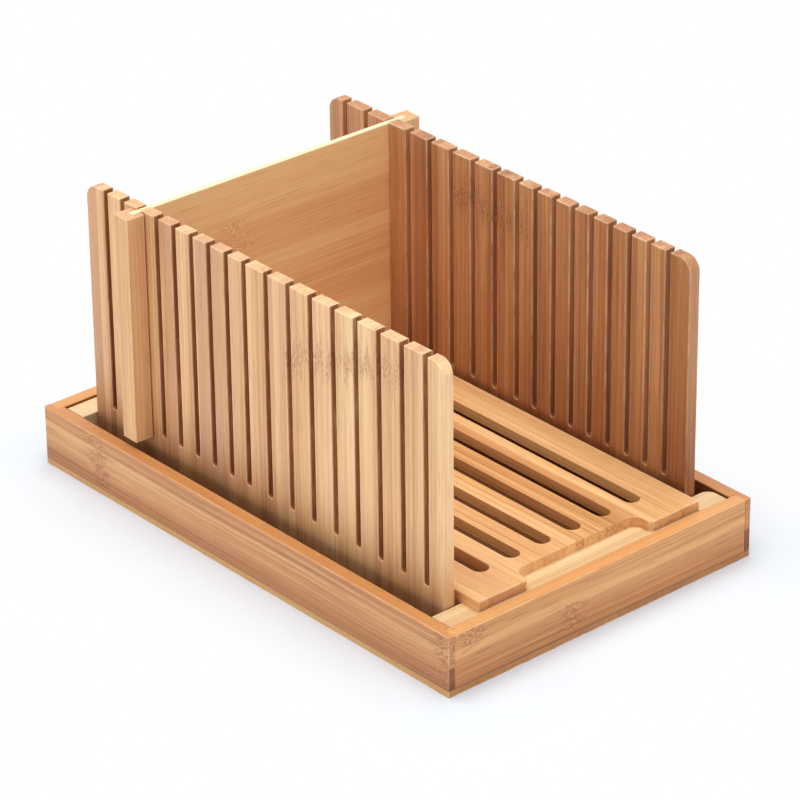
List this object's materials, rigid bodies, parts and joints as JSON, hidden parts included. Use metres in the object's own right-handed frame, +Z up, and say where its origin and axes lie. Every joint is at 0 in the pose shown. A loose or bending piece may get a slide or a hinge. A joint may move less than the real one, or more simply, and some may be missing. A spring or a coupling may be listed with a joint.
{
  "type": "bread slicer guide",
  "caption": "Bamboo guide for slicing a loaf: two slotted walls on a crumb grate, with a movable stop, standing in a shallow crumb tray.",
  "frame": {"origin": "middle of the crumb tray's underside, on the surface that it stands on", "axes": "+Z up, +Y along the loaf from the open front end to the stop, X across the loaf"},
  "size_m": [0.215, 0.335, 0.174],
  "materials": {
    "tray_bamboo": "satin, oiled",
    "wall_bamboo": "satin, oiled",
    "grate_bamboo": "satin, oiled",
    "stop_bamboo": "satin, oiled",
    "pale_bamboo": "satin",
    "screw_steel": "zinc plated"
  },
  "bodies": {
    "tray": {"tray_bottom": "tray_bamboo", "tray_side_left": "tray_bamboo", "tray_side_right": "tray_bamboo", "tray_end_front": "tray_bamboo", "tray_end_rear": "tray_bamboo"},
    "slicer": {"crossbar_front": "pale_bamboo", "crossbar_rear": "pale_bamboo", "crumb_grate": "grate_bamboo", "wall_left_front": "wall_bamboo", "wall_left_rear": "wall_bamboo", "wall_right_front": "wall_bamboo", "wall_right_rear": "wall_bamboo", "wall_screws": "screw_steel"},
    "stop": {"stop_plate": "stop_bamboo", "stop_post_left": "pale_bamboo", "stop_post_right": "pale_bamboo"}
  },
  "joints": [
    {"name": "slicer_lift", "type": "slide", "parent": "tray", "child": "slicer", "axis": [0, 0, 1], "range_m": [0, 0.05]},
    {"name": "stop_lift", "type": "slide", "parent": "slicer", "child": "stop", "axis": [0, 0, 1], "range_m": [0, 0.14]}
  ]
}
